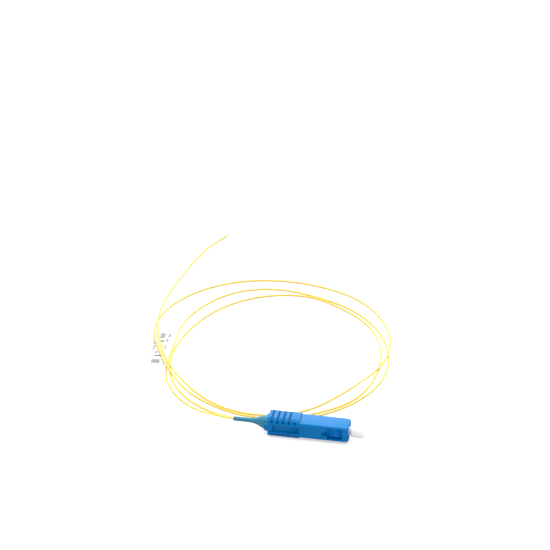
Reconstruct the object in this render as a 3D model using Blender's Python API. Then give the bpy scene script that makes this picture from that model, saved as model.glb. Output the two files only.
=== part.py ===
"""A simplex push-pull fibre pigtail: connector, boot, dust cap, and a tight-buffered fibre in three loops.

The connector lies along X with its ferrule towards +X, and the floor is the plane Z = 0. The origin is on
the floor under the middle of the connector, which reaches from the boot's tip to the dust cap's end.
"""

import math

import bmesh
import bpy
import numpy as np
from mathutils import Matrix, Vector

MM = 0.001
CLEARANCE = 0.3 * MM
OVERSHOOT = 1.0 * MM
SHARP_ANGLE = math.radians(35)
ARC_STEPS = 6
FLARE_STEPS = 8
TURNED_STEPS = 32
READINGS_PER_STEP = 40

# Outer housing
HOUSING_WIDTH = 9.0 * MM
HOUSING_HEIGHT = 7.4 * MM
FRONT_LENGTH = 22.2 * MM
FRONT_EDGE_RADIUS = 0.7 * MM
LEAD_IN_LENGTH = 1.4 * MM
LEAD_IN_INSET = 0.35 * MM
FRONT_CORNER_RADIUS = 1.6 * MM
SIDE_WALL = 0.8 * MM
TOP_WALL = 0.6 * MM
CAVITY_EDGE_RADIUS = 1.3 * MM
GRIP_LENGTH = 14.3 * MM
PAD_RAISE = 1.1 * MM
PAD_OVERHANG = 0.4 * MM
PAD_SHOULDER_RADIUS = 2.5 * MM
WEB_HEIGHT = 3.8 * MM
WEB_INSET = 0.5 * MM
WEB_GROOVE_WIDTH = 0.9 * MM
WEB_GROOVE_DEPTH = 0.25 * MM
CHEEK_REACH = 1.9 * MM
CHEEK_OVERLAP = 2.2 * MM
CHEEK_END_RADIUS = 1.2 * MM
CHEEK_LIP_GAP = 0.15 * MM
HOUSING_TRAVEL = 2.0 * MM
KEY_WIDTH = 2.0 * MM
KEY_LENGTH = 8.0 * MM
KEY_SETBACK = 3.0 * MM

# Ribbed pads: grooves across the top, and a square pit in each shoulder
PIT_COUNT = 5
GROOVE_COUNT = 4
RIB_PITCH = 2.6 * MM
LAST_PIT_SETBACK = 2.0 * MM
GROOVE_WIDTH = 0.9 * MM
GROOVE_DEPTH = 0.5 * MM
PIT_SIZE = 1.3 * MM
PIT_DEPTH = 1.0 * MM
PIT_ABOVE_WEB = 0.8 * MM

# T-shaped side windows
WINDOW_SETBACK = 2.9 * MM
WINDOW_LENGTH = 6.7 * MM
WINDOW_HEIGHT = 5.6 * MM
SLOT_LENGTH = 2.4 * MM
SLOT_HEIGHT = 2.5 * MM

# Plug frame, inside the housing
FRAME_RECESS = 0.3 * MM
FRAME_LENGTH = 27.0 * MM
FRAME_BORE = 4.6 * MM
SHOULDER_BORE = 3.3 * MM
SHOULDER_SETBACK = 6.5 * MM
SHOULDER_THICKNESS = 1.0 * MM
LATCH_BAR_SETBACK = 5.2 * MM
LATCH_BAR_LENGTH = 1.1 * MM
LATCH_FRONT_LENGTH = 3.0 * MM
LATCH_FRONT_DEPTH = 0.25 * MM
LATCH_REAR_LENGTH = 4.5 * MM
LATCH_REAR_DEPTH = 0.5 * MM

# Ferrule, its flange and spring
FERRULE_DIAMETER = 2.5 * MM
FERRULE_LENGTH = 12.7 * MM
FERRULE_TIP_CHAMFER = 0.5 * MM
FERRULE_TRAVEL = 1.0 * MM
FLANGE_LENGTH = 3.0 * MM
FLANGE_CUP_DEPTH = 2.2 * MM
FLANGE_STEM_LENGTH = 8.0 * MM
FLANGE_STEM_DIAMETER = 2.2 * MM
SPRING_WIRE = 0.5 * MM
SPRING_TURNS = 7
SPRING_STEPS = 12
SPRING_ROUNDNESS = 1

# Rear body and boot
FIBRE_BORE = 1.5 * MM
NOSE_LENGTH = 5.0 * MM
COLLAR_DIAMETER = 6.2 * MM
COLLAR_LENGTH = 1.9 * MM
POST_DIAMETER = 4.2 * MM
POST_LENGTH = 7.5 * MM
BOOT_DIAMETER = 6.2 * MM
BOOT_TAIL_DIAMETER = 2.1 * MM
BOOT_TAIL_LENGTH = 4.6 * MM
BOOT_TIP_CHAMFER = 0.15 * MM
BOOT_FLARE_LENGTH = 9.9 * MM
BOOT_BASE_WALL = 1.1 * MM

# Dust cap
CAP_REACH = 6.9 * MM
CAP_HEAD_LENGTH = 3.4 * MM
CAP_HEAD_DIAMETER = 6.0 * MM
CAP_HEAD_ROUNDING = 1.0 * MM
CAP_NECK_DIAMETER = 5.2 * MM
CAP_END_WALL = 2.3 * MM

# Fibre and label
FIBRE_DIAMETER = 0.9 * MM
FIBRE_IN_BOOT = 4.0 * MM
FIBRE_LIFT = 0.05 * MM
FIBRE_POINT_COUNT = 79
FIBRE_ROUNDNESS = 2
LABEL_WIDTH = 12.4 * MM
LABEL_LENGTH = 31.0 * MM
LABEL_THICKNESS = 0.25 * MM
LABEL_CENTRE = (-80.5 * MM, 58.2 * MM)
LABEL_TURN = math.radians(5.4)
SLEEVE_ALONG_FIBRE = 775.0 * MM
SLEEVE_LENGTH = 9.0 * MM
SLEEVE_WALL = 0.3 * MM
SLEEVE_STEPS = 16

# Stations along the connector, from the boot's tip to the cap's end
BOOT_REACH = BOOT_TAIL_LENGTH + BOOT_FLARE_LENGTH + BOOT_BASE_WALL
REAR_BODY_LENGTH = POST_LENGTH + COLLAR_LENGTH
CONNECTOR_LENGTH = (
    BOOT_REACH + CLEARANCE + REAR_BODY_LENGTH + CLEARANCE + FRAME_LENGTH + FRAME_RECESS + CAP_REACH
)
TIP_X = -CONNECTOR_LENGTH / 2
FLARE_X = TIP_X + BOOT_TAIL_LENGTH
SOCKET_X = TIP_X + BOOT_REACH
CAP_END_X = TIP_X + CONNECTOR_LENGTH
FRONT_X = CAP_END_X - CAP_REACH
STEP_X = FRONT_X - FRONT_LENGTH
GRIP_X = STEP_X - GRIP_LENGTH
CHEEK_X = GRIP_X - CHEEK_REACH
FRAME_FRONT_X = FRONT_X - FRAME_RECESS
FRAME_REAR_X = FRAME_FRONT_X - FRAME_LENGTH
SHOULDER_FRONT_X = FRAME_FRONT_X - SHOULDER_SETBACK
SHOULDER_REAR_X = SHOULDER_FRONT_X - SHOULDER_THICKNESS
FLANGE_FRONT_X = SHOULDER_REAR_X - CLEARANCE
FLANGE_REAR_X = FLANGE_FRONT_X - FLANGE_LENGTH
FERRULE_REAR_X = FLANGE_FRONT_X - FLANGE_CUP_DEPTH + CLEARANCE
FERRULE_TIP_X = FERRULE_REAR_X + FERRULE_LENGTH
NOSE_FRONT_X = FRAME_REAR_X + NOSE_LENGTH
COLLAR_FRONT_X = FRAME_REAR_X - CLEARANCE
COLLAR_REAR_X = COLLAR_FRONT_X - COLLAR_LENGTH
POST_REAR_X = COLLAR_REAR_X - POST_LENGTH
BOOT_FRONT_X = COLLAR_REAR_X - CLEARANCE
REAR_BORE_END_X = COLLAR_FRONT_X + HOUSING_TRAVEL + CLEARANCE
AXIS_Z = HOUSING_HEIGHT / 2 + PAD_RAISE

# Sections that follow from the sizes above
CAVITY_WIDTH = HOUSING_WIDTH - 2 * SIDE_WALL
CAVITY_HEIGHT = HOUSING_HEIGHT - 2 * TOP_WALL
FRAME_WIDTH = CAVITY_WIDTH - 2 * CLEARANCE
FRAME_HEIGHT = CAVITY_HEIGHT - 2 * CLEARANCE
FRAME_EDGE_RADIUS = CAVITY_EDGE_RADIUS - CLEARANCE
REAR_BORE = max(BOOT_DIAMETER, COLLAR_DIAMETER) + 2 * CLEARANCE
PAD_WIDTH = HOUSING_WIDTH + 2 * PAD_OVERHANG
FLANGE_DIAMETER = FRAME_BORE - 2 * CLEARANCE
FERRULE_BORE = FERRULE_DIAMETER + 2 * CLEARANCE
FIBRE_REST_Z = FIBRE_DIAMETER / 2 + FIBRE_LIFT

# The fibre's route in millimetres, from the boot's tip round three loops to the free end. It rises over
# each strand that it crosses, and over the label.
ROUTE_MM = [
    (-33.0, 0.1, 4.75),
    (-38.0, 1.8, 4.3),
    (-46.0, 6.7, 2.0),
    (-57.0, 15.4, 0.6),
    (-68.0, 30.6, 0.5),
    (-71.8, 46.0, 0.5),
    (-72.2, 62.0, 0.5),
    (-72.6, 80.0, 0.5),
    (-67.3, 98.2, 0.5),
    (-52.6, 117.0, 0.5),
    (-30.0, 123.6, 0.5),
    (-14.0, 120.4, 0.5),
    (0.7, 114.5, 0.5),
    (19.3, 98.4, 0.5),
    (29.4, 77.8, 0.5),
    (31.9, 60.0, 0.5),
    (20.7, 28.7, 0.5),
    (8.2, 16.9, 0.5),
    (-10.0, 8.6, 0.5),
    (-32.0, 6.6, 0.5),
    (-54.0, 16.8, 0.5),
    (-67.0, 34.5, 0.5),
    (-70.8, 50.0, 0.5),
    (-70.9, 61.0, 0.5),
    (-66.6, 81.5, 0.5),
    (-53.0, 105.0, 0.5),
    (-34.0, 117.2, 0.5),
    (-14.0, 118.8, 0.5),
    (-0.9, 112.8, 0.5),
    (16.8, 97.8, 0.5),
    (27.9, 64.0, 0.5),
    (26.9, 50.0, 0.5),
    (19.2, 29.8, 0.5),
    (7.4, 18.9, 0.5),
    (-10.0, 10.6, 0.5),
    (-32.0, 10.5, 0.5),
    (-44.0, 15.4, 0.5),
    (-55.2, 22.8, 0.6),
    (-69.8, 40.3, 1.8),
    (-78.0, 56.0, 1.2),
    (-83.3, 68.2, 1.1),
    (-84.3, 90.0, 0.6),
    (-72.0, 114.0, 0.5),
    (-44.0, 130.8, 0.5),
    (-16.0, 131.2, 0.5),
    (10.5, 119.4, 0.5),
    (25.4, 99.3, 0.5),
    (30.9, 76.0, 1.5),
    (27.2, 56.6, 1.6),
    (16.3, 38.6, 0.5),
    (0.5, 18.9, 0.5),
    (-12.0, 12.6, 0.5),
    (-32.0, 12.2, 0.5),
    (-44.0, 17.3, 0.5),
    (-56.0, 27.0, 0.7),
    (-68.5, 41.2, 1.8),
    (-78.0, 59.0, 2.3),
    (-84.4, 80.6, 2.2),
    (-86.1, 97.0, 0.9),
    (-85.3, 114.0, 0.5),
    (-80.2, 145.4, 0.5),
    (-76.3, 159.8, 0.5),
    (-69.0, 175.0, 0.5),
]


def clear_scene():
    for item in list(bpy.data.objects):
        bpy.data.objects.remove(item, do_unlink=True)


def material(name, colour, roughness, metallic=0.0):
    finish = bpy.data.materials.new(name)
    finish.use_nodes = True
    shader = finish.node_tree.nodes["Principled BSDF"]
    shader.inputs["Base Color"].default_value = (*colour, 1.0)
    shader.inputs["Roughness"].default_value = roughness
    shader.inputs["Metallic"].default_value = metallic
    return finish


def add_object(name, mesh):
    item = bpy.data.objects.new(name, mesh)
    bpy.context.scene.collection.objects.link(item)
    return item


def finished(item, finish):
    item.data.materials.clear()
    item.data.materials.append(finish)
    item.data.shade_smooth()
    item.data.set_sharp_from_angle(angle=SHARP_ANGLE)
    return item


def mesh_from(name, build):
    """A closed mesh made by build, which fills the bmesh that it is given."""
    shape = bmesh.new()
    build(shape)
    bmesh.ops.remove_doubles(shape, verts=shape.verts, dist=1e-6)
    bmesh.ops.recalc_face_normals(shape, faces=shape.faces)
    mesh = bpy.data.meshes.new(name)
    shape.to_mesh(mesh)
    shape.free()
    return mesh


def rounded_outline(width, height, radius):
    """Points of a rounded rectangle in Y and Z about the connector's axis."""
    points = []
    for corner, (side, level) in enumerate([(1, 1), (-1, 1), (-1, -1), (1, -1)]):
        for step in range(ARC_STEPS + 1):
            angle = math.pi / 2 * (corner + step / ARC_STEPS)
            y = side * (width / 2 - radius) + radius * math.cos(angle)
            z = level * (height / 2 - radius) + radius * math.sin(angle)
            points.append((y, z))
    return points


def loft(name, rings):
    """A solid through closed rings, each given as its X and its outline in Y and Z about the axis."""

    def build(shape):
        loops = []
        for x, outline in rings:
            loops.append([shape.verts.new((x, y, AXIS_Z + z)) for y, z in outline])
        for first, second in zip(loops, loops[1:]):
            for i in range(len(first)):
                j = (i + 1) % len(first)
                shape.faces.new((first[i], first[j], second[j], second[i]))
        shape.faces.new(loops[0])
        shape.faces.new(loops[-1])

    return add_object(name, mesh_from(name, build))


def prism(name, outline, start_x, end_x):
    return loft(name, [(start_x, outline), (end_x, outline)])


def block(name, x_range, y_range, z_range):
    """A box, with Z measured from the connector's axis."""
    (left, right), (low, high) = y_range, z_range
    return prism(name, [(left, low), (right, low), (right, high), (left, high)], *x_range)


def turned(name, profile):
    """A closed profile of X and radius, turned about the connector's axis."""

    def build(shape):
        verts = [shape.verts.new((x, 0, AXIS_Z + radius)) for x, radius in profile]
        edges = [shape.edges.new((verts[i - 1], verts[i])) for i in range(len(verts))]
        bmesh.ops.spin(
            shape,
            geom=verts + edges,
            cent=(0, 0, AXIS_Z),
            axis=(1, 0, 0),
            angle=2 * math.pi,
            steps=TURNED_STEPS,
            use_merge=True,
        )
        bmesh.ops.dissolve_degenerate(shape, edges=shape.edges, dist=1e-7)

    return add_object(name, mesh_from(name, build))


def boolean(target, tool, operation):
    tool.hide_render = True
    tool.display_type = "WIRE"
    change = target.modifiers.new(tool.name, "BOOLEAN")
    change.operation = operation
    change.solver = "EXACT"
    change.object = tool


def cut(target, tool):
    boolean(target, tool, "DIFFERENCE")


def fuse(target, tool):
    boolean(target, tool, "UNION")


def joined_blocks(name, boxes):
    """Several boxes that don't touch as one cutter, each a tuple of X, Y and Z ranges."""

    def build(shape):
        for (x0, x1), (y0, y1), (z0, z1) in boxes:
            size = Matrix.Diagonal((x1 - x0, y1 - y0, z1 - z0, 1))
            place = Matrix.Translation(((x0 + x1) / 2, (y0 + y1) / 2, AXIS_Z + (z0 + z1) / 2))
            bmesh.ops.create_cube(shape, size=1, matrix=place @ size)

    return add_object(name, mesh_from(name, build))


def pad_outline(level):
    """The section of one grip pad: a flat top, round shoulders, and lips that hang to the web."""
    half_width = PAD_WIDTH / 2
    top = HOUSING_HEIGHT / 2 + PAD_RAISE
    lip = WEB_HEIGHT / 2
    points = [(half_width, lip)]
    for side, start in ((1, 0.0), (-1, math.pi / 2)):
        for step in range(ARC_STEPS + 1):
            angle = start + math.pi / 2 * step / ARC_STEPS
            y = side * (half_width - PAD_SHOULDER_RADIUS) + PAD_SHOULDER_RADIUS * math.cos(angle)
            points.append((y, top - PAD_SHOULDER_RADIUS + PAD_SHOULDER_RADIUS * math.sin(angle)))
    points.append((-half_width, lip))
    return [(y, level * z) for y, z in points]


def housing_front():
    """The front box, whose end is rounded to lead into an adapter."""
    rings = [(STEP_X, rounded_outline(HOUSING_WIDTH, HOUSING_HEIGHT, FRONT_EDGE_RADIUS))]
    for step in range(ARC_STEPS + 1):
        angle = math.pi / 2 * step / ARC_STEPS
        share = 1 - math.cos(angle)
        inset = LEAD_IN_INSET * share
        radius = FRONT_EDGE_RADIUS + (FRONT_CORNER_RADIUS - FRONT_EDGE_RADIUS) * share
        x = FRONT_X - LEAD_IN_LENGTH * (1 - math.sin(angle))
        rings.append((x, rounded_outline(HOUSING_WIDTH - 2 * inset, HOUSING_HEIGHT - 2 * inset, radius)))
    return loft("grip_housing", rings)


def cheek(side):
    """One side wall's proud rear end, rounded where it reaches back along the boot."""
    height = WEB_HEIGHT / 2 - CHEEK_LIP_GAP
    end_x = GRIP_X + CHEEK_OVERLAP
    outline = [(end_x, -height), (end_x, height)]
    for level in (1, -1):
        for step in range(ARC_STEPS + 1):
            angle = math.pi / 2 * (step if level > 0 else ARC_STEPS - step) / ARC_STEPS
            x = CHEEK_X + CHEEK_END_RADIUS * (1 - math.sin(angle))
            outline.append((x, level * (height - CHEEK_END_RADIUS * (1 - math.cos(angle)))))
    inner = side * REAR_BORE / 2
    outer = side * HOUSING_WIDTH / 2

    def build(shape):
        loops = [[shape.verts.new((x, y, AXIS_Z + z)) for x, z in outline] for y in (inner, outer)]
        for i in range(len(outline)):
            j = (i + 1) % len(outline)
            shape.faces.new((loops[0][i], loops[0][j], loops[1][j], loops[1][i]))
        shape.faces.new(loops[0])
        shape.faces.new(loops[1])

    name = "cheek_left" if side > 0 else "cheek_right"
    return add_object(name, mesh_from(name, build))


def rib_stations():
    """X of each shoulder pit, from the front of the grip backwards."""
    return [STEP_X - LAST_PIT_SETBACK - i * RIB_PITCH for i in range(PIT_COUNT)]


def groove_boxes():
    top = HOUSING_HEIGHT / 2 + PAD_RAISE
    boxes = []
    for x in rib_stations()[-GROOVE_COUNT:]:
        for low, high in ((top - GROOVE_DEPTH, top + OVERSHOOT), (-top - OVERSHOOT, -top + GROOVE_DEPTH)):
            boxes.append(((x - GROOVE_WIDTH / 2, x + GROOVE_WIDTH / 2), (-PAD_WIDTH, PAD_WIDTH), (low, high)))
    return boxes


def pit_boxes():
    low = WEB_HEIGHT / 2 + PIT_ABOVE_WEB
    inner = PAD_WIDTH / 2 - PIT_DEPTH
    boxes = []
    for x in rib_stations():
        for y_range in ((inner, PAD_WIDTH), (-PAD_WIDTH, -inner)):
            for z_range in ((low, low + PIT_SIZE), (-low - PIT_SIZE, -low)):
                boxes.append(((x - PIT_SIZE / 2, x + PIT_SIZE / 2), y_range, z_range))
    return boxes


def web_groove_boxes():
    """Upright grooves at both ends of the recessed web."""
    height = WEB_HEIGHT / 2 - CHEEK_LIP_GAP
    inner = HOUSING_WIDTH / 2 - WEB_INSET - WEB_GROOVE_DEPTH
    boxes = []
    for start in (GRIP_X + CHEEK_OVERLAP, STEP_X - WEB_GROOVE_WIDTH):
        for y_range in ((inner, PAD_WIDTH), (-PAD_WIDTH, -inner)):
            boxes.append(((start, start + WEB_GROOVE_WIDTH), y_range, (-height, height)))
    return boxes


def make_housing(finish):
    housing = housing_front()
    web = rounded_outline(HOUSING_WIDTH - 2 * WEB_INSET, HOUSING_HEIGHT, FRONT_EDGE_RADIUS)
    fuse(housing, prism("web", web, GRIP_X, STEP_X + OVERSHOOT))
    fuse(housing, prism("top_pad", pad_outline(1), GRIP_X, STEP_X))
    fuse(housing, prism("bottom_pad", pad_outline(-1), GRIP_X, STEP_X))
    for side in (1, -1):
        fuse(housing, cheek(side))
    key_x = FRONT_X - KEY_SETBACK
    key_levels = (-HOUSING_HEIGHT / 2 - PAD_RAISE, -HOUSING_HEIGHT / 2 + TOP_WALL / 2)
    fuse(housing, block("key", (key_x - KEY_LENGTH, key_x), (-KEY_WIDTH / 2, KEY_WIDTH / 2), key_levels))
    cavity = rounded_outline(CAVITY_WIDTH, CAVITY_HEIGHT, CAVITY_EDGE_RADIUS)
    cut(housing, prism("cavity", cavity, COLLAR_FRONT_X, FRONT_X + OVERSHOOT))
    radius = REAR_BORE / 2
    start_x = CHEEK_X - OVERSHOOT
    bore = [(start_x, 0), (REAR_BORE_END_X, 0), (REAR_BORE_END_X, radius), (start_x, radius)]
    cut(housing, turned("rear_bore", bore))
    window_x = FRONT_X - WINDOW_SETBACK
    slot_x = window_x - WINDOW_LENGTH
    across = (-HOUSING_WIDTH, HOUSING_WIDTH)
    window_levels = (-WINDOW_HEIGHT / 2, WINDOW_HEIGHT / 2)
    slot_levels = (-SLOT_HEIGHT / 2, SLOT_HEIGHT / 2)
    cut(housing, block("window", (slot_x, window_x), across, window_levels))
    cut(housing, block("window_slot", (slot_x - SLOT_LENGTH, slot_x + OVERSHOOT), across, slot_levels))
    cut(housing, joined_blocks("pad_grooves", groove_boxes()))
    cut(housing, joined_blocks("pad_pits", pit_boxes()))
    cut(housing, joined_blocks("web_grooves", web_groove_boxes()))
    return finished(housing, finish)


def make_plug_frame(finish):
    outline = rounded_outline(FRAME_WIDTH, FRAME_HEIGHT, FRAME_EDGE_RADIUS)
    frame = prism("plug_frame", outline, FRAME_REAR_X, FRAME_FRONT_X)
    radius = FRAME_BORE / 2
    neck = SHOULDER_BORE / 2
    bore = [
        (FRAME_REAR_X - OVERSHOOT, 0),
        (FRAME_FRONT_X + OVERSHOOT, 0),
        (FRAME_FRONT_X + OVERSHOOT, radius),
        (SHOULDER_FRONT_X, radius),
        (SHOULDER_FRONT_X, neck),
        (SHOULDER_REAR_X, neck),
        (SHOULDER_REAR_X, radius),
        (FRAME_REAR_X - OVERSHOOT, radius),
    ]
    cut(frame, turned("frame_bore", bore))
    bar_front_x = FRONT_X - LATCH_BAR_SETBACK
    bar_rear_x = bar_front_x - LATCH_BAR_LENGTH
    boxes = []
    for side in (1, -1):
        front_y = side * (FRAME_WIDTH / 2 - LATCH_FRONT_DEPTH)
        rear_y = side * (FRAME_WIDTH / 2 - LATCH_REAR_DEPTH)
        outer_y = side * FRAME_WIDTH
        levels = (-FRAME_HEIGHT, FRAME_HEIGHT)
        boxes.append(((bar_front_x, bar_front_x + LATCH_FRONT_LENGTH), sorted((front_y, outer_y)), levels))
        boxes.append(((bar_rear_x - LATCH_REAR_LENGTH, bar_rear_x), sorted((rear_y, outer_y)), levels))
    cut(frame, joined_blocks("latch_recesses", boxes))
    return finished(frame, finish)


def make_ferrule(finish):
    radius = FERRULE_DIAMETER / 2
    profile = [
        (FERRULE_REAR_X, 0),
        (FERRULE_TIP_X, 0),
        (FERRULE_TIP_X, radius - FERRULE_TIP_CHAMFER),
        (FERRULE_TIP_X - FERRULE_TIP_CHAMFER, radius),
        (FERRULE_REAR_X, radius),
    ]
    return finished(turned("ferrule", profile), finish)


def make_flange(finish):
    radius = FLANGE_DIAMETER / 2
    cup = FERRULE_BORE / 2
    stem = FLANGE_STEM_DIAMETER / 2
    stem_x = FLANGE_REAR_X - FLANGE_STEM_LENGTH
    cup_x = FLANGE_FRONT_X - FLANGE_CUP_DEPTH
    profile = [
        (stem_x, 0),
        (cup_x, 0),
        (cup_x, cup),
        (FLANGE_FRONT_X, cup),
        (FLANGE_FRONT_X, radius),
        (FLANGE_REAR_X, radius),
        (FLANGE_REAR_X, stem),
        (stem_x, stem),
    ]
    return finished(turned("ferrule_flange", profile), finish)


def make_spring(finish):
    """A wire wound on a helix between the rear body's nose and the flange."""
    start_x = NOSE_FRONT_X + CLEARANCE + SPRING_WIRE / 2
    end_x = FLANGE_REAR_X - CLEARANCE - SPRING_WIRE / 2
    radius = (FLANGE_STEM_DIAMETER + SPRING_WIRE) / 2 + CLEARANCE
    count = SPRING_TURNS * SPRING_STEPS + 1
    share = np.linspace(0, 1, count)
    angle = 2 * math.pi * SPRING_TURNS * share
    places = np.column_stack(
        [start_x + (end_x - start_x) * share, radius * np.cos(angle), AXIS_Z + radius * np.sin(angle)]
    )
    spring = tube("ferrule_spring", places, SPRING_WIRE, SPRING_ROUNDNESS)
    spring.data.materials.append(finish)
    return spring


def make_rear_body(finish):
    hole = FIBRE_BORE / 2
    nose = FLANGE_DIAMETER / 2
    collar = COLLAR_DIAMETER / 2
    post = POST_DIAMETER / 2
    profile = [
        (POST_REAR_X, hole),
        (NOSE_FRONT_X, hole),
        (NOSE_FRONT_X, nose),
        (COLLAR_FRONT_X, nose),
        (COLLAR_FRONT_X, collar),
        (COLLAR_REAR_X, collar),
        (COLLAR_REAR_X, post),
        (POST_REAR_X, post),
    ]
    return finished(turned("rear_body", profile), finish)


def swell(share):
    """How far the boot has grown to its full size, part of the way along its flare: slow, then fast."""
    square = share**2
    return square**2 * (3 - 2 * square)


def make_boot(finish):
    hole = FIBRE_BORE / 2
    socket = POST_DIAMETER / 2 + CLEARANCE
    tail = BOOT_TAIL_DIAMETER / 2
    profile = [(TIP_X, hole), (SOCKET_X, hole), (SOCKET_X, socket), (BOOT_FRONT_X, socket)]
    profile.append((BOOT_FRONT_X, BOOT_DIAMETER / 2))
    for step in range(FLARE_STEPS, -1, -1):
        share = step / FLARE_STEPS
        radius = tail + (BOOT_DIAMETER / 2 - tail) * swell(share)
        profile.append((FLARE_X + BOOT_FLARE_LENGTH * share, radius))
    profile += [(TIP_X + BOOT_TIP_CHAMFER, tail), (TIP_X, tail - BOOT_TIP_CHAMFER)]
    return finished(turned("strain_relief_boot", profile), finish)


def make_cap(finish):
    bore = FERRULE_BORE / 2
    sleeve = FRAME_BORE / 2 - CLEARANCE
    neck = CAP_NECK_DIAMETER / 2
    head = CAP_HEAD_DIAMETER / 2
    inner_x = SHOULDER_FRONT_X + FERRULE_TRAVEL + CLEARANCE
    neck_x = FRAME_FRONT_X + FERRULE_TRAVEL + CLEARANCE
    head_x = CAP_END_X - CAP_HEAD_LENGTH
    end_x = CAP_END_X - CAP_END_WALL
    profile = [(end_x, 0), (CAP_END_X, 0)]
    for step in range(ARC_STEPS + 1):
        angle = math.pi / 2 * step / ARC_STEPS
        x = CAP_END_X - CAP_HEAD_ROUNDING * (1 - math.cos(angle))
        profile.append((x, head - CAP_HEAD_ROUNDING * (1 - math.sin(angle))))
    profile += [(head_x, head), (head_x, neck), (neck_x, neck), (neck_x, sleeve), (inner_x, sleeve)]
    profile += [(inner_x, bore), (end_x, bore)]
    return finished(turned("dust_cap", profile), finish)


def smooth_curve(points, steps):
    """A natural cubic spline through the points, read at even steps along its length."""
    points = np.asarray(points, dtype=float)
    chord = np.linalg.norm(np.diff(points, axis=0), axis=1)
    knots = np.concatenate([[0.0], np.cumsum(chord)])
    count = len(points)
    system = np.eye(count)
    right = np.zeros((count, 3))
    for i in range(1, count - 1):
        before, after = chord[i - 1], chord[i]
        system[i, i - 1 : i + 2] = before, 2 * (before + after), after
        right[i] = 6 * ((points[i + 1] - points[i]) / after - (points[i] - points[i - 1]) / before)
    bend = np.linalg.solve(system, right)

    def read(at):
        i = np.clip(np.searchsorted(knots, at) - 1, 0, count - 2)
        span = chord[i][:, None]
        a = (knots[i + 1] - at)[:, None] / span
        b = 1 - a
        line = a * points[i] + b * points[i + 1]
        return line + ((a**3 - a) * bend[i] + (b**3 - b) * bend[i + 1]) * span**2 / 6

    fine = read(np.linspace(0, knots[-1], READINGS_PER_STEP * steps))
    length = np.concatenate([[0.0], np.cumsum(np.linalg.norm(np.diff(fine, axis=0), axis=1))])
    even = np.linspace(0, length[-1], steps)
    return np.column_stack([np.interp(even, length, fine[:, k]) for k in range(3)])


def tube(name, places, diameter, roundness):
    """A closed round tube along the places. It has 4 * (roundness + 1) sides."""
    curve = bpy.data.curves.new(name, "CURVE")
    curve.dimensions = "3D"
    curve.bevel_depth = diameter / 2
    curve.bevel_resolution = roundness
    curve.use_fill_caps = True
    line = curve.splines.new("POLY")
    line.points.add(len(places) - 1)
    line.points.foreach_set("co", np.column_stack([places, np.ones(len(places))]).ravel())
    return add_object(name, curve)


def fibre_places():
    """The fibre's centre line, which starts inside the boot and lies on the floor between its humps."""
    inside = (TIP_X + FIBRE_IN_BOOT, 0.0, AXIS_Z)
    exit_point = (TIP_X, 0.0, AXIS_Z)
    route = np.vstack([inside, exit_point, np.array(ROUTE_MM) * MM])
    places = smooth_curve(route, FIBRE_POINT_COUNT - 1)
    places[:, 2] = np.maximum(places[:, 2], FIBRE_REST_Z)
    return np.insert(places, 1, exit_point, axis=0)


def make_fibre(finish):
    fibre = tube("fibre_cord", fibre_places(), FIBRE_DIAMETER, FIBRE_ROUNDNESS)
    fibre.data.materials.append(finish)
    return fibre


def rod(name, middle, along, radius, length):
    """A round rod about its middle, turned to lie along a direction."""
    pose = Matrix.Translation(middle) @ along.to_track_quat("Z", "Y").to_matrix().to_4x4()

    def build(shape):
        bmesh.ops.create_cone(
            shape,
            cap_ends=True,
            segments=SLEEVE_STEPS,
            radius1=radius,
            radius2=radius,
            depth=length,
            matrix=pose,
        )

    return add_object(name, mesh_from(name, build))


def make_label(finish):
    """A flat label under the strands, with a sleeve that holds one of them."""
    turn = Matrix.Rotation(LABEL_TURN, 4, "Z")
    place = Matrix.Translation((*LABEL_CENTRE, LABEL_THICKNESS / 2))
    size = Matrix.Diagonal((LABEL_WIDTH, LABEL_LENGTH, LABEL_THICKNESS, 1))

    def build(shape):
        bmesh.ops.create_cube(shape, size=1, matrix=place @ turn @ size)

    label = add_object("flag_label", mesh_from("flag_label", build))
    places = [Vector(place) for place in fibre_places()]
    segment = int(SLEEVE_ALONG_FIBRE / (places[-1] - places[-2]).length) + 1
    middle = (places[segment] + places[segment + 1]) / 2
    along = (places[segment + 1] - places[segment]).normalized()
    bore = FIBRE_DIAMETER / 2 + CLEARANCE
    fuse(label, rod("sleeve", middle, along, bore + SLEEVE_WALL, SLEEVE_LENGTH))
    cut(label, rod("sleeve_bore", middle, along, bore, 2 * SLEEVE_LENGTH))
    return finished(label, finish)


def main():
    clear_scene()
    blue = material("housing_blue", (0.012, 0.215, 0.62), 0.32)
    frame_blue = material("frame_blue", (0.008, 0.13, 0.5), 0.4)
    boot_blue = material("boot_blue", (0.05, 0.22, 0.36), 0.5)
    cap_white = material("cap_white", (0.86, 0.86, 0.85), 0.4)
    ceramic = material("ceramic_white", (0.9, 0.9, 0.88), 0.15)
    steel = material("steel", (0.56, 0.57, 0.58), 0.28, 1.0)
    yellow = material("buffer_yellow", (0.94, 0.68, 0.06), 0.42)
    paper = material("label_white", (0.9, 0.9, 0.9), 0.6)
    make_housing(blue)
    make_plug_frame(frame_blue)
    make_ferrule(ceramic)
    make_flange(steel)
    make_spring(steel)
    make_rear_body(steel)
    make_boot(boot_blue)
    make_cap(cap_white)
    make_fibre(yellow)
    make_label(paper)


main()
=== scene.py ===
"""Looks of a simplex push-pull fibre pigtail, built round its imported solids.

Lengths are in metres and lie in the frame's own axes: the connector runs along X with its ferrule
towards +X, and the floor is the plane Z = 0. Each sub-assembly is a class that builds and dresses its
own pieces.
"""

import logging
import math
from abc import ABC, abstractmethod
from collections.abc import Callable, Mapping, Sequence
from dataclasses import dataclass, replace
from enum import Enum
from functools import cached_property

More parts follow.
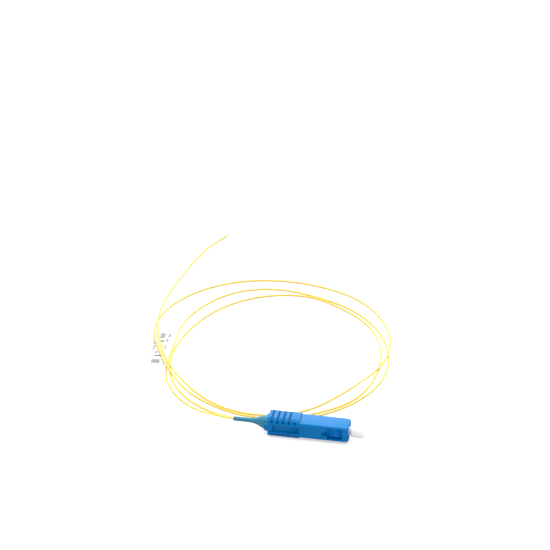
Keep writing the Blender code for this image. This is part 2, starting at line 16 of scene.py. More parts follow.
import bmesh
import bpy
import numpy as np
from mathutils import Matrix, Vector


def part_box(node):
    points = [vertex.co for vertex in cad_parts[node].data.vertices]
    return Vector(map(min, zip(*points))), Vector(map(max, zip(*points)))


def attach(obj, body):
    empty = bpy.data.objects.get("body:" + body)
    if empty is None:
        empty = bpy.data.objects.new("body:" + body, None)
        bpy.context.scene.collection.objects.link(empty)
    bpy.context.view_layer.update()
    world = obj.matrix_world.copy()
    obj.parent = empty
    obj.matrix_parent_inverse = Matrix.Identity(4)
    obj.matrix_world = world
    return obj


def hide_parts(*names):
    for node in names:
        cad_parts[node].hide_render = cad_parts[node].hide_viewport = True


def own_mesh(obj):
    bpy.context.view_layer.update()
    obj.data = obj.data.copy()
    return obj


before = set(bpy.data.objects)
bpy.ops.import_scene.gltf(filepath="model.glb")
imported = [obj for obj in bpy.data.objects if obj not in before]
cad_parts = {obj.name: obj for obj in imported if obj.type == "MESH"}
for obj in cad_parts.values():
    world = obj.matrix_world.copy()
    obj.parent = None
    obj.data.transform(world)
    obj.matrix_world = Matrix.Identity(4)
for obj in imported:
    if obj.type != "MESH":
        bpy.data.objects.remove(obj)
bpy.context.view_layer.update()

LOG = logging.getLogger("pigtail")
MM = 0.001
FULL_TURN = 2 * math.pi
MERGE_DISTANCE = 1e-7
SHARP_ANGLE = math.radians(32)

Colour = tuple[float, float, float]


class Body(Enum):
    """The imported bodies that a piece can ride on."""

    ROOT = "root"
    HOUSING = "housing"
    FERRULE = "ferrule_body"
    CAP = "cap"


class Slot(Enum):
    """The record's material slots."""

    HOUSING = "housing_blue"
    FRAME = "frame_blue"
    BOOT = "boot_blue"
    CAP = "cap_white"
    CERAMIC = "ceramic_white"
    STEEL = "steel"
    BUFFER = "buffer_yellow"
    LABEL = "label_white"


class Expr:
    """A value socket that Python's operators turn into Math nodes."""

    def __init__(self, graph: "Graph", socket: bpy.types.NodeSocket) -> None:
        """Wraps a socket.

        Args:
            graph: The node graph that the socket belongs to.
            socket: An output socket that carries one number.
        """
        self.graph = graph
        self.socket = socket

    def math(self, operation: str, *others: "Expr | float") -> "Expr":
        """Adds one Math node.

        Args:
            operation: The node's operation.
            others: The values after this one.

        Returns:
            The node's result.
        """
        values = dict(enumerate((self, *others)))
        node = self.graph.add("ShaderNodeMath", {"operation": operation}, values)
        return Expr(self.graph, node.outputs[0])

    def __add__(self, other: "Expr | float") -> "Expr":
        """Returns the sum."""
        return self.math("ADD", other)

    def __radd__(self, other: float) -> "Expr":
        """Returns the sum, with a plain number first."""
        return self.math("ADD", other)

    def __sub__(self, other: "Expr | float") -> "Expr":
        """Returns the difference."""
        return self.math("SUBTRACT", other)

    def __rsub__(self, other: float) -> "Expr":
        """Returns a plain number less this value."""
        return self.math("MULTIPLY", -1.0).math("ADD", other)

    def __mul__(self, other: "Expr | float") -> "Expr":
        """Returns the product."""
        return self.math("MULTIPLY", other)

    def __rmul__(self, other: float) -> "Expr":
        """Returns the product, with a plain number first."""
        return self.math("MULTIPLY", other)

    def __abs__(self) -> "Expr":
        """Returns the value without its sign."""
        return self.math("ABSOLUTE")

    def clamped(self) -> "Expr":
        """Returns the value held between 0 and 1."""
        return self.math("MAXIMUM", 0.0).math("MINIMUM", 1.0)

    def step(self, edge: float, softness: float) -> "Expr":
        """Rises from 0 to 1 in a straight line across an edge.

        Args:
            edge: Where the result is one half.
            softness: The distance over which it rises.

        Returns:
            The mask.
        """
        return ((self - edge) * (1 / softness) + 0.5).clamped()

    def between(self, low: float, high: float, softness: float) -> "Expr":
        """Is 1 between two edges and 0 outside them.

        Args:
            low: The lower edge.
            high: The upper edge.
            softness: The distance over which each edge fades.

        Returns:
            The mask.
        """
        return self.step(low, softness) * (1 - self.step(high, softness))


class Graph:
    """A new material's node tree, and the one way that nodes are added to it."""

    def __init__(self, name: str) -> None:
        """Starts an empty material.

        Args:
            name: The material's name.
        """
        self.material = bpy.data.materials.new(name)
        self.material.use_nodes = True
        self.tree = self.material.node_tree
        self.tree.nodes.clear()

    def add(self, kind: str, settings: Mapping, inputs: Mapping) -> bpy.types.Node:
        """Adds a node.

        Args:
            kind: The node's type name.
            settings: Its own settings, set first.
            inputs: A number, a colour or a link for each named or numbered socket.

        Returns:
            The node.
        """
        node = self.tree.nodes.new(kind)
        for key, value in settings.items():
            setattr(node, key, value)
        for key, value in inputs.items():
            if isinstance(value, Expr):
                value = value.socket
            if isinstance(value, bpy.types.NodeSocket):
                self.tree.links.new(value, node.inputs[key])
            elif isinstance(value, tuple) and len(node.inputs[key].default_value) > len(value):
                node.inputs[key].default_value = (*value, 1.0)
            else:
                node.inputs[key].default_value = value
        return node

    @cached_property
    def place(self) -> bpy.types.NodeSocket:
        """The point on the piece, in metres."""
        return self.add("ShaderNodeTexCoord", {}, {}).outputs["Object"]

    @cached_property
    def axes(self) -> tuple[Expr, Expr, Expr]:
        """The point on the piece as three separate values."""
        split = self.add("ShaderNodeSeparateXYZ", {}, {0: self.place})
        return tuple(Expr(self, part) for part in split.outputs)

    @cached_property
    def sheet(self) -> tuple[Expr, Expr]:
        """The two directions of the piece's own UV map."""
        spread = self.add("ShaderNodeUVMap", {}, {}).outputs[0]
        split = self.add("ShaderNodeSeparateXYZ", {}, {0: spread})
        return Expr(self, split.outputs[0]), Expr(self, split.outputs[1])

    def noise(self, size: float, detail: float = 2.0, stretch: Colour = (1.0, 1.0, 1.0)) -> Expr:
        """Soft random spots, about one half on average.

        Args:
            size: A spot's size in metres.
            detail: How many finer layers are added.
            stretch: How much the pattern is squeezed along X, Y and Z.

        Returns:
            The pattern, from 0 to 1.
        """
        spot = self.add("ShaderNodeMapping", {}, {"Vector": self.place, "Scale": stretch}).outputs[0]
        node = self.add("ShaderNodeTexNoise", {}, {"Vector": spot, "Scale": 1 / size, "Detail": detail})
        return Expr(self, node.outputs["Fac"])

    def mix(
        self, share: Expr, first: Colour | bpy.types.NodeSocket, second: Colour
    ) -> bpy.types.NodeSocket:
        """Blends two colours.

        Args:
            share: How much of the second colour shows.
            first: The colour at a share of 0.
            second: The colour at a share of 1.

        Returns:
            The blended colour.
        """
        inputs = {0: share, 6: first, 7: second}
        return self.add("ShaderNodeMix", {"data_type": "RGBA"}, inputs).outputs[2]

    def bump(
        self, height: Expr, depth: float, below: bpy.types.NodeSocket | None = None
    ) -> bpy.types.NodeSocket:
        """Raises the surface by a pattern.

        Args:
            height: The pattern, from 0 to 1.
            depth: The height of 1, in metres.
            below: A normal that this one is added to.

        Returns:
            The normal.
        """
        inputs = {"Height": height, "Distance": depth, "Strength": 1.0}
        if below is not None:
            inputs["Normal"] = below
        return self.add("ShaderNodeBump", {}, inputs).outputs[0]

    def surface(self, inputs: Mapping) -> bpy.types.Material:
        """Ends the graph in a Principled surface.

        Args:
            inputs: The shader's values and links, by socket name.

        Returns:
            The finished material.
        """
        shader = self.add("ShaderNodeBsdfPrincipled", {}, inputs)
        self.add("ShaderNodeOutputMaterial", {}, {"Surface": shader.outputs[0]})
        return self.material


def shaded(colour: Colour, share: float) -> Colour:
    """Returns the colour with its brightness multiplied by share."""
    return tuple(min(1.0, channel * share) for channel in colour)


# A mask of recesses, where a moulded finish is duller and has painted shade.
Pockets = Callable[[Graph], Expr]


@dataclass(frozen=True)
class Finish(ABC):
    """A surface finish that can make its material."""

    name: str
    colour: Colour

    def build(self) -> bpy.types.Material:
        """Makes the material."""
        graph = Graph(self.name)
        return graph.surface(self.inputs(graph))

    @abstractmethod
    def inputs(self, graph: Graph) -> Mapping:
        """Returns the shader's values and links, by socket name."""


@dataclass(frozen=True)
class MouldedPlastic(Finish):
    """Satin injection-moulded plastic: a fine tool grain, faint flow marks and uneven gloss.

    Its grooves and pockets are duller, and painted shade gives them a deeper tone of its colour.
    """

    roughness: float = 0.34
    specular: float = 0.5
    grain: float = 0.14 * MM
    grain_depth: float = 0.004 * MM
    flow: float = 7.0 * MM
    pockets: Pockets | None = None
    painted_pocket_shade: float = 0.5
    pocket_dullness: float = 0.35

    def inputs(self, graph: Graph) -> Mapping:
        """Returns the shader's inputs."""
        flow = graph.noise(self.flow, 3.0, (0.5, 1.0, 1.0))
        smudge = graph.noise(2.2 * MM, 4.0)
        grain = graph.noise(self.grain)
        tone = graph.mix(flow, shaded(self.colour, 0.93), shaded(self.colour, 1.07))
        roughness = (smudge - 0.5) * 0.16 + (grain - 0.5) * 0.1 + self.roughness
        if self.pockets is not None:
            pockets = self.pockets(graph)
            # Painted shade: the colour darkens where the pockets mask marks a recess.
            tone = graph.mix(pockets, tone, shaded(self.colour, self.painted_pocket_shade))
            roughness = pockets * self.pocket_dullness + roughness
        return {
            "Base Color": tone,
            "Roughness": roughness,
            "Specular IOR Level": self.specular,
            "Normal": graph.bump(grain, self.grain_depth),
        }


@dataclass(frozen=True)
class SoftRubber(Finish):
    """Matt elastomer with a skin of fine pimples and a few paler scuffs."""

    roughness: float = 0.5

    def inputs(self, graph: Graph) -> Mapping:
        """Returns the shader's inputs."""
        skin = graph.noise(0.11 * MM)
        cloud = graph.noise(3.0 * MM, 4.0)
        scuff = graph.noise(0.5 * MM, 5.0, (0.25, 1.0, 1.0)).step(0.66, 0.1)
        tone = graph.mix(cloud, shaded(self.colour, 0.9), shaded(self.colour, 1.1))
        return {
            "Base Color": graph.mix(scuff * 0.25, tone, shaded(self.colour, 1.5)),
            "Roughness": (skin - 0.5) * 0.12 + scuff * 0.12 + self.roughness,
            "Specular IOR Level": 0.4,
            "Sheen Weight": 0.15,
            "Sheen Roughness": 0.4,
            "Normal": graph.bump(skin, 0.008 * MM, graph.bump(cloud, 0.02 * MM)),
        }


@dataclass(frozen=True)
class MilkyPlastic(Finish):
    """Milky polyethylene, which lets a little light through."""


    def inputs(self, graph: Graph) -> Mapping:
        """Returns the shader's inputs."""
        cloud = graph.noise(1.6 * MM, 4.0)
        grain = graph.noise(0.16 * MM)
        return {
            "Base Color": graph.mix(cloud, shaded(self.colour, 0.98), self.colour),
            "Roughness": (cloud - 0.5) * 0.14 + 0.42,
            "Subsurface Weight": 0.6,
            "Subsurface Radius": (1.0, 0.99, 0.98),
            "Subsurface Scale": 0.8 * MM,
            "Normal": graph.bump(grain, 0.005 * MM),
        }


@dataclass(frozen=True)
class ClearFilm(Finish):
    """Clear adhesive film, a little milky where it is creased, which the fibre shows through."""

    cover: float = 0.07

    def inputs(self, graph: Graph) -> Mapping:
        """Returns the shader's inputs."""
        crease = graph.noise(0.8 * MM, 3.0, (1.0, 0.3, 1.0))
        return {
            "Base Color": graph.mix(crease, shaded(self.colour, 0.96), self.colour),
            "Roughness": crease * 0.1 + 0.12,
            "Alpha": (crease - 0.5) * 0.1 + self.cover,
            "Normal": graph.bump(crease, 0.02 * MM),
        }


@dataclass(frozen=True)
class PolishedCeramic(Finish):
    """White zirconia, ground round its axis and polished at its tip."""


    def inputs(self, graph: Graph) -> Mapping:
        """Returns the shader's inputs."""
        grinding = graph.noise(0.03 * MM, 1.0, (1.0, 0.02, 0.02))
        cloud = graph.noise(1.2 * MM)
        return {
            "Base Color": graph.mix(cloud, shaded(self.colour, 0.97), self.colour),
            "Roughness": grinding * 0.12 + 0.08,
            "IOR": 2.1,
            "Coat Weight": cloud * 0.3,
            "Normal": graph.bump(grinding, 0.0006 * MM),
        }


@dataclass(frozen=True)
class TurnedMetal(Finish):
    """Nickel-plated metal with fine tool marks round its axis, and a darker film in places."""

    roughness: float = 0.24

    def inputs(self, graph: Graph) -> Mapping:
        """Returns the shader's inputs."""
        marks = graph.noise(0.05 * MM, 2.0, (1.0, 0.04, 0.04))
        film = graph.noise(1.5 * MM, 4.0)
        return {
            "Base Color": graph.mix(film, shaded(self.colour, 0.82), self.colour),
            "Metallic": 1.0,
            "Roughness": (marks - 0.5) * 0.16 + film * 0.08 + self.roughness,
            "Normal": graph.bump(marks, 0.0015 * MM),
        }


@dataclass(frozen=True)
class BufferJacket(Finish):
    """The fibre's smooth yellow buffer, with faint lines that the extruder's die leaves along it.

    The piece's UV map runs round the fibre in U, and along it in metres in V.
    """

    roughness: float = 0.36
    die_lines: float = 9.0
    fade_length: float = 0.21

    def inputs(self, graph: Graph) -> Mapping:
        """Returns the shader's inputs."""
        around, along = graph.sheet
        lines = (around * self.die_lines * FULL_TURN).math("SINE") * 0.5 + 0.5
        lines = lines * abs((along * (FULL_TURN / self.fade_length)).math("SINE"))
        cloud = graph.noise(9.0 * MM, 3.0)
        dust = graph.noise(0.35 * MM, 3.0).step(0.72, 0.08)
        tone = graph.mix(cloud, shaded(self.colour, 0.94), shaded(self.colour, 1.06))
        return {
            "Base Color": graph.mix(dust * 0.3, tone, (0.95, 0.9, 0.7)),
            "Roughness": (cloud - 0.5) * 0.1 + lines * 0.05 + self.roughness,
            "Specular IOR Level": 0.25,
            "Subsurface Weight": 0.6,
            "Subsurface Radius": (1.0, 0.9, 0.5),
            "Subsurface Scale": 0.7 * MM,
            "Normal": graph.bump(lines, 0.002 * MM),
        }


@dataclass(frozen=True)
class PrintMark:
    """One grey mark on the label, in metres from its middle: across it and along it."""

    across: tuple[float, float]
    along: tuple[float, float]
    ink: float


@dataclass(frozen=True)
class PrintedFilm(Finish):
    """A white label film with plain grey print marks, and the faint tooth of its coating.

    The piece's UV map runs across and along the label in metres from its middle.
    """

    ink: Colour
    marks: tuple[PrintMark, ...]
    softness: float = 0.12 * MM

    def inputs(self, graph: Graph) -> Mapping:
        """Returns the shader's inputs."""
        across, along = graph.sheet
        tooth = graph.noise(0.09 * MM)
        printed: Expr | float = 0.0
        for mark in self.marks:
            spot = across.between(*mark.across, self.softness) * along.between(*mark.along, self.softness)
            printed = spot * mark.ink + printed
        speckle = graph.noise(0.25 * MM, 2.0).step(0.38, 0.3) * 0.35 + 0.65
        return {
            "Base Color": graph.mix((printed * speckle).clamped(), self.colour, self.ink),
            "Roughness": (tooth - 0.5) * 0.1 + 0.55,
            "Specular IOR Level": 0.4,
            "Normal": graph.bump(tooth, 0.003 * MM),
        }


@dataclass(frozen=True)
class ClearGlass(Finish):
    """The bare glass end of the fibre, dark in the middle and bright at its rim."""


    def inputs(self, graph: Graph) -> Mapping:
        """Returns the shader's inputs."""
        cloud = graph.noise(0.05 * MM)
        tone = graph.mix(cloud, shaded(self.colour, 0.8), self.colour)
        return {"Base Color": tone, "Roughness": 0.05, "Coat Weight": cloud}


@dataclass(frozen=True)
class StudioPaper(Finish):
    """The plain pale paper that the object lies on. Its glow shows, but casts no light on the object."""

    glow: float

    def inputs(self, graph: Graph) -> Mapping:
        """Returns the shader's inputs."""
        seen = Expr(graph, graph.add("ShaderNodeLightPath", {}, {}).outputs["Is Camera Ray"])
        return {
            "Base Color": self.colour,
            "Roughness": 0.9,
            "Specular IOR Level": 0.1,
            "Emission Color": graph.mix(seen, (0.0, 0.0, 0.0), (1.0, 1.0, 1.0)),
            "Emission Strength": self.glow,
        }


def grid_faces(rows: int, columns: int, rows_close: bool, columns_close: bool) -> np.ndarray:
    """Numbers the four corners of each cell of a grid of points.

    Args:
        rows: The number of rows of points.
        columns: The number of points in a row.
        rows_close: Whether the last row joins the first.
        columns_close: Whether each row's last point joins its first.

    Returns:
        An array of faces, four point numbers each.
    """
    row, column = np.meshgrid(np.arange(rows), np.arange(columns), indexing="ij")
    corner = row * columns + column
    right = row * columns + (column + 1) % columns
    above = (row + 1) % rows * columns + column
    opposite = (row + 1) % rows * columns + (column + 1) % columns
    cells = np.stack([corner, right, opposite, above], axis=-1)
    cells = cells[: rows if rows_close else rows - 1, : columns if columns_close else columns - 1]
    return cells.reshape(-1, 4)


def finished(name: str, mesh: bpy.types.Mesh) -> bpy.types.Object:
    """Closes a mesh's seams and poles, turns its faces outwards and shades it smooth.

    Args:
        name: The new object's name.
        mesh: The mesh, with its place in its points.

    Returns:
        An object at the origin that shows the mesh.
    """
    shape = bmesh.new()
    shape.from_mesh(mesh)
    bmesh.ops.remove_doubles(shape, verts=shape.verts, dist=MERGE_DISTANCE)
    bmesh.ops.dissolve_degenerate(shape, edges=shape.edges, dist=MERGE_DISTANCE)
    bmesh.ops.recalc_face_normals(shape, faces=shape.faces)
    shape.to_mesh(mesh)
    shape.free()
    mesh.shade_smooth()
    mesh.set_sharp_from_angle(angle=SHARP_ANGLE)
    item = bpy.data.objects.new(name, mesh)
    bpy.context.scene.collection.objects.link(item)
    return item


def surface(
    name: str,
    points: np.ndarray,
    rows_close: bool = False,
    columns_close: bool = False,
    caps: bool = False,
    sheet: np.ndarray | None = None,
) -> bpy.types.Object:
    """Makes an object from a grid of points.

    Args:
        name: The object's name.
        points: An array of rows, columns and X, Y, Z.
        rows_close: Whether the last row joins the first.
        columns_close: Whether each row's last point joins its first.
        caps: Whether the first and last rows are filled.
        sheet: The points' own U and V, if a pattern follows the surface.

    Returns:
        The object.
    """
    rows, columns = points.shape[:2]
    faces = grid_faces(rows, columns, rows_close, columns_close).tolist()
    if caps:
        faces.append(list(range(columns)))
        faces.append(list(range((rows - 1) * columns, rows * columns)))
    mesh = bpy.data.meshes.new(name)
    mesh.from_pydata(points.reshape(-1, 3).tolist(), [], faces)
    if sheet is not None:
        corners = np.empty(len(mesh.loops), dtype=np.int32)
        mesh.loops.foreach_get("vertex_index", corners)
        spread = mesh.uv_layers.new(name="surface")
        spread.uv.foreach_set("vector", sheet.reshape(-1, 2)[corners].astype(np.float32).ravel())
    return finished(name, mesh)


def rounded_profile(corners: Sequence[tuple[float, float, float]], steps: int = 6) -> np.ndarray:
    """Rounds the corners of a closed outline.

    Each corner's arc touches both of its sides. Its centre is on the corner's bisector, at the radius
    divided by the sine of half the corner's angle, and its points turn evenly from one side to the other.

    Args:
        corners: Each corner's two coordinates and its radius, which may be 0.
        steps: The number of stretches in each arc.

    Returns:
        The outline's points, two coordinates each.
    """
    table = np.array(corners, dtype=float)
    place, radius = table[:, :2], table[:, 2]
    back = np.roll(place, 1, axis=0) - place
    ahead = np.roll(place, -1, axis=0) - place
    back /= np.linalg.norm(back, axis=1, keepdims=True)
    ahead /= np.linalg.norm(ahead, axis=1, keepdims=True)
    half = np.arccos(np.clip((back * ahead).sum(axis=1), -1, 1)) / 2
    round_ones = radius > 0
    safe = np.where(round_ones, half, math.pi / 4)
    bisector = back + ahead
    length = np.linalg.norm(bisector, axis=1, keepdims=True)
    bisector = bisector / np.where(length > 0, length, 1)
    centre = place + bisector * (radius / np.sin(safe))[:, None]
    reach = (radius / np.tan(safe))[:, None]
    start = place + back * reach - centre
    end = place + ahead * reach - centre
    sweep = (math.pi - 2 * safe)[:, None, None]
    share = np.linspace(0, 1, steps + 1)[None, :, None]
    arc = np.sin((1 - share) * sweep) * start[:, None] + np.sin(share * sweep) * end[:, None]
    arc = np.where(round_ones[:, None, None], arc / np.sin(sweep) + centre[:, None], place[:, None])
    points = arc.reshape(-1, 2)
    moved = np.linalg.norm(points - np.roll(points, 1, axis=0), axis=1)
    return points[moved > MERGE_DISTANCE]


def refined(profile: np.ndarray, spacing: float) -> np.ndarray:
    """Adds points along a closed outline's longer sides.

    Args:
        profile: The outline's points.
        spacing: The greatest distance between neighbours.

    Returns:
        The outline with its own points and the added ones.
    """
    closed = np.vstack([profile, profile[:1]])
    length = np.concatenate([[0.0], np.cumsum(np.linalg.norm(np.diff(closed, axis=0), axis=1))])
    even = np.arange(0, length[-1], spacing)
    at = np.unique(np.round(np.concatenate([length[:-1], even]), 9))
    return np.column_stack([np.interp(at, length, closed[:, k]) for k in range(2)])


Relief = Callable[[np.ndarray, np.ndarray, np.ndarray], np.ndarray]


@dataclass(frozen=True)
class Lathe:
    """Turns closed outlines of X and radius about the connector's axis."""

    axis_height: float
    sides: int = 64

    def turn(self, name: str, profile: np.ndarray, relief: Relief | None = None) -> bpy.types.Object:
        """Makes a turned solid: each outline point's circle has Y and Z from its radius and the angle.

        Args:
            name: The object's name.
            profile: The closed outline, X and radius.
            relief: Gives what is added to the radius from X, radius and angle.

        Returns:
            The object.
        """
        angle = np.linspace(0, FULL_TURN, self.sides, endpoint=False)[None, :]
        x, radius = profile[:, :1], profile[:, 1:]
        reach = radius + (relief(x, radius, angle) if relief else 0.0)
        points = np.stack(
            np.broadcast_arrays(x, reach * np.cos(angle), self.axis_height + reach * np.sin(angle)), axis=-1
        )
        return surface(name, points, rows_close=True, columns_close=True)


def swept(path: np.ndarray, radius: float, sides: int) -> np.ndarray:
    """Carries a circle along a path that is never upright.

    At each point the circle's first axis is level, the cross product of the upward direction and the
    path's own, and its second is square to both.

    Args:
        path: The points of the centre line.
        radius: The circle's radius.
        sides: The number of points round it.

    Returns:
        An array of path points, circle points and X, Y, Z.
    """
    along = np.gradient(path, axis=0)
    along /= np.linalg.norm(along, axis=1, keepdims=True)
    level = np.cross([0.0, 0.0, 1.0], along)
    level /= np.linalg.norm(level, axis=1, keepdims=True)
    upright = np.cross(along, level)
    angle = np.linspace(0, FULL_TURN, sides, endpoint=False)[None, :, None]
    return path[:, None] + radius * (np.cos(angle) * level[:, None] + np.sin(angle) * upright[:, None])


def dress(
    item: bpy.types.Object, finish: Finish, body: Body, slot: Slot, *nodes: str
) -> bpy.types.Object:
    """Gives a piece its finish, its body and the solids that it stands for.

    Args:
        item: The piece.
        finish: The finish that it gets.
        body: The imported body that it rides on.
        slot: The record's slot of its finish. Not used.
        nodes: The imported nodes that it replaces.

    Returns:
        The piece.
    """
    item.data.materials.clear()
    item.data.materials.append(finish.build())
    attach(item, body.value)
    if nodes:
        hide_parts(*nodes)
    LOG.info("%s rides on %s and replaces %s", item.name, body.value, ", ".join(nodes) or "nothing")
    return item


@dataclass(frozen=True)
class Shell:
    """A moulded shell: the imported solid's own shape, with its corners broken as a mould leaves them."""

    node: str
    name: str
    edge_radius: float
    edge_steps: int = 3
    flat_angle: float = math.radians(1.0)
    corner_angle: float = math.radians(30)

    def build(self) -> bpy.types.Object:
        """Copies the solid, joins its flat triangles into faces and rounds its corners."""
        shape = bmesh.new()
        shape.from_mesh(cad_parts[self.node].data)
        bmesh.ops.remove_doubles(shape, verts=shape.verts, dist=MERGE_DISTANCE)
        bmesh.ops.dissolve_limit(shape, angle_limit=self.flat_angle, verts=shape.verts, edges=shape.edges)
        bmesh.ops.triangulate(shape, faces=shape.faces, quad_method="BEAUTY", ngon_method="BEAUTY")
        bmesh.ops.join_triangles(
            shape, faces=shape.faces, angle_face_threshold=self.flat_angle, angle_shape_threshold=math.pi / 3
        )
        mesh = bpy.data.meshes.new(self.name)
        shape.to_mesh(mesh)
        shape.free()
        mesh.shade_smooth()
        item = bpy.data.objects.new(self.name, mesh)
        bpy.context.scene.collection.objects.link(item)
        bevel = item.modifiers.new("broken_corners", "BEVEL")
        bevel.width = self.edge_radius
        bevel.segments = self.edge_steps
        bevel.limit_method = "ANGLE"
        bevel.angle_limit = self.corner_angle
        bevel.use_clamp_overlap = False
        bevel.harden_normals = True
        return item


@dataclass(frozen=True)
class Connector:
    """The connector's rigid pieces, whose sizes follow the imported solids."""

    lathe: Lathe
    housing_blue: MouldedPlastic
    frame_blue: MouldedPlastic
    boot_blue: Finish
    cap_white: Finish
    ceramic: Finish
    steel: Finish
    glass: Finish
    clearance: float = 0.3 * MM
    frame_bore: float = 4.6 * MM
    fibre_bore: float = 1.5 * MM
    front_length: float = 22.2 * MM
    groove_setback: float = 4.6 * MM
    groove_pitch: float = 2.6 * MM
    groove_count: int = 4
    groove_reach: float = 0.5 * MM
    spring_wire: float = 0.25 * MM
    spring_turns: int = 7
    spring_travel: float = 1.0 * MM

    def build(self) -> None:
        """Builds the connector from its outer shell inwards."""
        self.housing()
        self.plug_frame()
        self.boot()
        self.dust_cap()
        self.ferrule()
        self.flange()
        self.spring()
        self.rear_body()

    def housing(self) -> None:
        """The outer push-pull housing. Its grip's grooves get painted shade, a deeper blue."""
        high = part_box("grip_housing")[1]
        first_x = high.x - self.front_length - self.groove_setback
        groove_x = [first_x - self.groove_pitch * i for i in range(self.groove_count)]
        reach = self.groove_reach

        def grooves(graph: Graph) -> Expr:
            """Is 1 in the grooves across the grip's upper and lower faces, where shade is painted."""
            x, _, z = graph.axes
            in_line = sum(x.between(middle - reach, middle + reach, 0.06 * MM) for middle in groove_x)
            depth = (high.z - self.lathe.axis_height) - abs(z - self.lathe.axis_height)
            return in_line * depth.between(0.15 * MM, 0.62 * MM, 0.08 * MM)

        shell = Shell("grip_housing", "push_pull_housing", 0.1 * MM).build()
        # Painted shade: the grooves take half the housing's blue.
        finish = replace(self.housing_blue, pockets=grooves, painted_pocket_shade=0.5)
        dress(shell, finish, Body.HOUSING, Slot.HOUSING, "grip_housing")

    def plug_frame(self) -> None:
        """The inner body, seen through the side windows. Its sunk faces get painted shade, a deeper blue."""
        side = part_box("plug_frame")[1].y - 0.12 * MM

        def sunk(graph: Graph) -> Expr:
            """Is 1 where the surface lies below the body's own sides, where shade is painted."""
            return 1 - abs(graph.axes[1]).step(side, 0.06 * MM)

        shell = Shell("plug_frame", "inner_plug_frame", 0.08 * MM).build()
        # Painted shade: the sunk faces take 0.8 of the frame's blue.
        finish = replace(self.frame_blue, pockets=sunk, painted_pocket_shade=0.8)
        dress(shell, finish, Body.ROOT, Slot.FRAME, "plug_frame")

    def boot(self) -> None:
        """The strain relief: a slim tail that swells into a trumpet.

        Along the flare the radius grows by t * t * (3 - 2 * t), where t is the square of the share of the
        flare's length.
        """
        low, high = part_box("strain_relief_boot")
        post_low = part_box("rear_body")[0]
        outer = (high.z - low.z) / 2
        tail, tail_length, flare_length = 1.05 * MM, 4.6 * MM, 9.9 * MM
        socket_x, socket = post_low.x - self.clearance, 2.4 * MM
        share = np.linspace(1, 0, 33)
        swell = share**4 * (3 - 2 * share**2)
        flare = [
            (low.x + tail_length + flare_length * s, tail + (outer - tail) * grown, 0.0)
            for s, grown in zip(share, swell)
        ]
        corners = [
            (low.x, self.fibre_bore / 2, 0.08 * MM),
            (socket_x, self.fibre_bore / 2, 0.0),
            (socket_x, socket, 0.2 * MM),
            (high.x, socket, 0.1 * MM),
            (high.x, outer, 0.35 * MM),
            *flare,
            (low.x, tail, 0.14 * MM),
        ]

        def parting_line(x: np.ndarray, radius: np.ndarray, angle: np.ndarray) -> np.ndarray:
            """A ridge on both sides of the tail, where the mould's halves met."""
            ridge = np.exp(-((np.sin(angle) / 0.05) ** 2)) * 0.03 * MM
            return np.where(radius > 0.9 * MM, ridge, 0.0) * (x < socket_x)

        item = self.lathe.turn("strain_relief", rounded_profile(corners), parting_line)
        dress(item, self.boot_blue, Body.ROOT, Slot.BOOT, "strain_relief_boot")

    def dust_cap(self) -> None:
        """The cap over the ferrule: a sleeve in the plug frame, a neck, and a head with a soft rim."""
        low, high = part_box("dust_cap")
        frame_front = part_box("plug_frame")[1].x
        ferrule_low, ferrule_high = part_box("ferrule")
        head = (high.z - low.z) / 2
        neck, sleeve = 2.85 * MM, self.frame_bore / 2 - self.clearance
        bore = (ferrule_high.z - ferrule_low.z) / 2 + self.clearance
        neck_x, head_x, end_x = frame_front + 1.3 * MM, high.x - 3.4 * MM, high.x - 2.3 * MM
        dimple, dimple_depth = 0.7 * MM, 0.2 * MM
        corners = [
            (end_x, 0.0, 0.0),
            (high.x - dimple_depth, 0.0, 0.0),
            (high.x - dimple_depth, dimple, 0.1 * MM),
            (high.x, dimple + dimple_depth, 0.1 * MM),
            (high.x, head, 1.0 * MM),
            (head_x, head, 0.08 * MM),
            (head_x, neck, 0.06 * MM),
            (neck_x, neck, 0.25 * MM),
            (neck_x, sleeve, 0.15 * MM),
            (low.x, sleeve, 0.3 * MM),
            (low.x, bore, 0.2 * MM),
            (end_x, bore, 0.4 * MM),
        ]
        item = self.lathe.turn("ferrule_dust_cap", rounded_profile(corners))
        dress(item, self.cap_white, Body.CAP, Slot.CAP, "dust_cap")

    def ferrule(self) -> None:
        """The ceramic ferrule, domed at its tip, with the glass fibre's end in the middle of it."""
        low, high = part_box("ferrule")
        radius = (high.z - low.z) / 2
        hole, dome, dome_radius = 0.07 * MM, 0.75 * MM, 20.0 * MM
        across = np.linspace(hole, dome, 9)
        tip = [(high.x - dome_radius + math.sqrt(dome_radius**2 - r**2), r, 0.0) for r in across]
        corners = [
            (low.x, hole, 0.0),
            *tip,
            (high.x - 0.5 * MM, radius, 0.1 * MM),
            (low.x, radius, 0.15 * MM),
        ]
        item = self.lathe.turn("ceramic_ferrule", rounded_profile(corners))
        dress(item, self.ceramic, Body.FERRULE, Slot.CERAMIC, "ferrule")
        core_x, core_radius = high.x - 2.0 * MM, 0.0625 * MM
        core = [
            (core_x, 0.0, 0.0),
            (high.x, 0.0, 0.0),
            (high.x, core_radius, 0.01 * MM),
            (core_x, core_radius, 0.0),
        ]
        glass = Lathe(self.lathe.axis_height, 16).turn("ferrule_glass_core", rounded_profile(core, 2))
        dress(glass, self.glass, Body.FERRULE, Slot.CERAMIC)

    def flange(self) -> None:
        """The metal flange, with four keyways that its neighbours' ribs slide in."""
        low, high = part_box("ferrule_flange")
        radius, stem = (high.z - low.z) / 2, 1.1 * MM
        rear_x, cup_x, cup = high.x - 3.0 * MM, high.x - 2.2 * MM, 1.55 * MM
        corners = [
            (low.x, 0.0, 0.0),
            (cup_x, 0.0, 0.0),
            (cup_x, cup, 0.1 * MM),
            (high.x, cup, 0.15 * MM),
            (high.x, radius, 0.2 * MM),
            (rear_x, radius, 0.2 * MM),
            (rear_x, stem, 0.2 * MM),
            (low.x, stem, 0.2 * MM),
        ]

